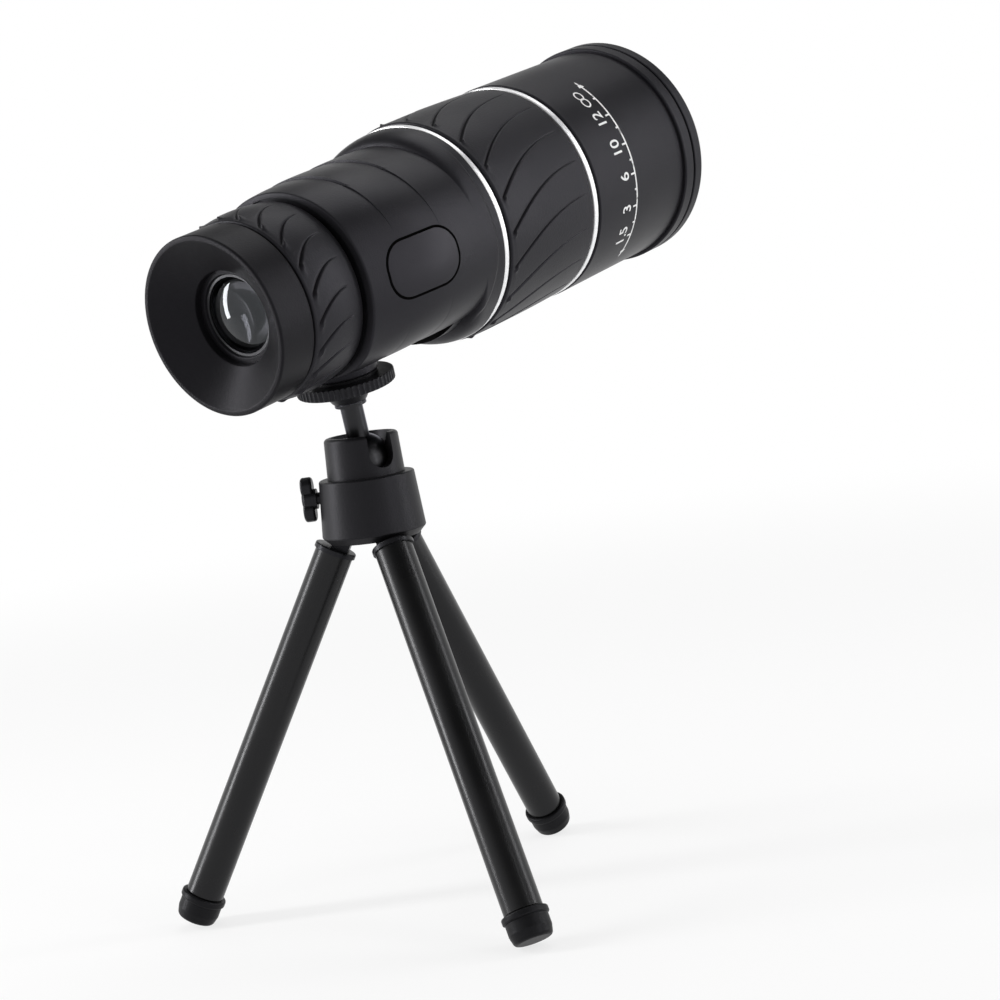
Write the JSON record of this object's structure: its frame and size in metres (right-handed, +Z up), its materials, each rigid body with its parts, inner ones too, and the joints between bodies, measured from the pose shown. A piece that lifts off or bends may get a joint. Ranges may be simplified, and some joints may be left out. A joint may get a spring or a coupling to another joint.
{
  "type": "spotting scope",
  "caption": "Straight spotting scope with focus and dioptre rings on a ball-head table tripod with folding telescopic legs.",
  "frame": {"origin": "point on the table under the tripod column's axis", "axes": "+Z up along the column, +Y the way the objective looks, -Y towards the user"},
  "size_m": [0.111, 0.1655, 0.207],
  "materials": {
    "body_plastic": "soft matte black moulding",
    "badge": "smooth matte black plate",
    "grip_rubber": "matte black rubber",
    "foot_rubber": "black rubber",
    "trim_metal": "polished ring",
    "black_aluminium": "black anodised",
    "steel": "plain steel",
    "ball_metal": "dark nickel plate",
    "brass": "turned brass",
    "head_metal": "satin dark grey paint",
    "hard_plastic": "hard black plastic",
    "nylon": "dark nylon",
    "leg_gloss": "gloss black enamel",
    "slider_metal": "black plated tube",
    "objective_glass": "coated glass",
    "eye_glass": "coated glass",
    "prism_glass": "clear glass"
  },
  "bodies": {
    "tripod_head": {"collar": "head_metal", "leg_yoke": "hard_plastic", "leg_pins": "steel", "ball_socket": "head_metal"},
    "thumb": {"thumb_screw": "hard_plastic", "thumb_tip": "nylon"},
    "seat": {"ball_seat": "nylon"},
    "stem": {"ball_stem": "ball_metal", "mount_stud": "steel"},
    "disc": {"lock_disc": "hard_plastic", "friction_pad": "grip_rubber"},
    "scope": {"body_shell": "body_plastic", "badge_plate": "badge", "tripod_bush": "brass", "rear_trim_ring": "trim_metal", "front_trim_ring": "trim_metal", "inner_barrel": "black_aluminium", "front_tube": "body_plastic", "bezel": "body_plastic", "prism_cage": "hard_plastic", "half_penta_prism": "prism_glass", "roof_prism": "prism_glass"},
    "focus": {"focus_drum": "hard_plastic", "focus_grip": "grip_rubber"},
    "objective": {"objective_cell": "hard_plastic", "crown_lens": "objective_glass", "flint_lens": "objective_glass", "objective_retainer": "black_aluminium", "focus_pin": "steel"},
    "dioptre": {"dioptre_ring": "black_aluminium", "dioptre_grip": "grip_rubber"},
    "eyepiece": {"eyepiece_barrel": "black_aluminium", "eyecup": "grip_rubber", "eye_lens": "eye_glass", "field_lens": "eye_glass", "eyepiece_spacer": "black_aluminium", "eyepiece_retainer": "black_aluminium", "dioptre_pin": "steel"},
    "left_leg": {"left_leg_plug": "hard_plastic", "left_leg_tube": "leg_gloss", "left_leg_bush": "nylon"},
    "left_slider": {"left_leg_slider": "slider_metal", "left_foot": "foot_rubber"},
    "right_leg": {"right_leg_plug": "hard_plastic", "right_leg_tube": "leg_gloss", "right_leg_bush": "nylon"},
    "right_slider": {"right_leg_slider": "slider_metal", "right_foot": "foot_rubber"},
    "front_leg": {"front_leg_plug": "hard_plastic", "front_leg_tube": "leg_gloss", "front_leg_bush": "nylon"},
    "front_slider": {"front_leg_slider": "slider_metal", "front_foot": "foot_rubber"}
  },
  "joints": [
    {"name": "left_leg_fold", "type": "hinge", "parent": "tripod_head", "child": "left_leg", "pos_m": [-0.00615, -0.00355, 0.0953], "axis": [0.5, -0.866, 0], "range_deg": [0, 29]},
    {"name": "left_leg_extend", "type": "slide", "parent": "left_leg", "child": "left_slider", "axis": [-0.4208, -0.2429, -0.874], "range_m": [0, 0.06]},
    {"name": "right_leg_fold", "type": "hinge", "parent": "tripod_head", "child": "right_leg", "pos_m": [0.00615, -0.00355, 0.0953], "axis": [0.5, 0.866, 0], "range_deg": [0, 29]},
    {"name": "right_leg_extend", "type": "slide", "parent": "right_leg", "child": "right_slider", "axis": [0.4208, -0.2429, -0.874], "range_m": [0, 0.06]},
    {"name": "front_leg_fold", "type": "hinge", "parent": "tripod_head", "child": "front_leg", "pos_m": [0, 0.0071, 0.0953], "axis": [-1, 0, 0], "range_deg": [0, 29]},
    {"name": "front_leg_extend", "type": "slide", "parent": "front_leg", "child": "front_slider", "axis": [0, 0.4859, -0.874], "range_m": [0, 0.06]},
    {"name": "thumb_screw_turn", "type": "hinge", "parent": "tripod_head", "child": "thumb", "pos_m": [0, 0, 0.1028], "axis": [-0.866, -0.5, 0], "range_deg": [0, 360]},
    {"name": "ball_pan", "type": "hinge", "parent": "tripod_head", "child": "seat", "pos_m": [0, 0, 0.1104], "axis": [0, 0, 1], "continuous": true},
    {"name": "ball_tilt", "type": "hinge", "parent": "seat", "child": "stem", "pos_m": [0, 0, 0.1104], "axis": [0.9753, 0.2209, 0], "range_deg": [-41.45, 18.55]},
    {"name": "lock_disc_turn", "type": "hinge", "parent": "stem", "child": "disc", "pos_m": [0.00083, -0.00368, 0.12902], "axis": [0.0438, -0.1936, 0.9801], "range_deg": [-90, 0]},
    {"name": "scope_turn", "type": "hinge", "parent": "stem", "child": "scope", "pos_m": [0.00095, -0.0042, 0.13167], "axis": [0.0438, -0.1936, 0.9801], "range_deg": [-180, 180]},
    {"name": "focus_turn", "type": "hinge", "parent": "scope", "child": "focus", "pos_m": [0.00634, 0.02824, 0.16277], "axis": [0.1134, 0.9757, 0.1877], "range_deg": [0, 108]},
    {"name": "objective_slide", "type": "slide", "parent": "scope", "child": "objective", "axis": [0.1134, 0.9757, 0.1877], "range_m": [0, 0.008]},
    {"name": "dioptre_turn", "type": "hinge", "parent": "scope", "child": "dioptre", "pos_m": [0.0001, -0.02552, 0.15243], "axis": [-0.1134, -0.9757, -0.1877], "range_deg": [0, 120]},
    {"name": "eyepiece_slide", "type": "slide", "parent": "scope", "child": "eyepiece", "axis": [-0.1134, -0.9757, -0.1877], "range_m": [0, 0.003]}
  ],
  "couplings": [
    {"joint": "objective_slide", "follows": "focus_turn", "m_per_rad": 0.0042441},
    {"joint": "eyepiece_slide", "follows": "dioptre_turn", "m_per_rad": 0.0014324}
  ]
}
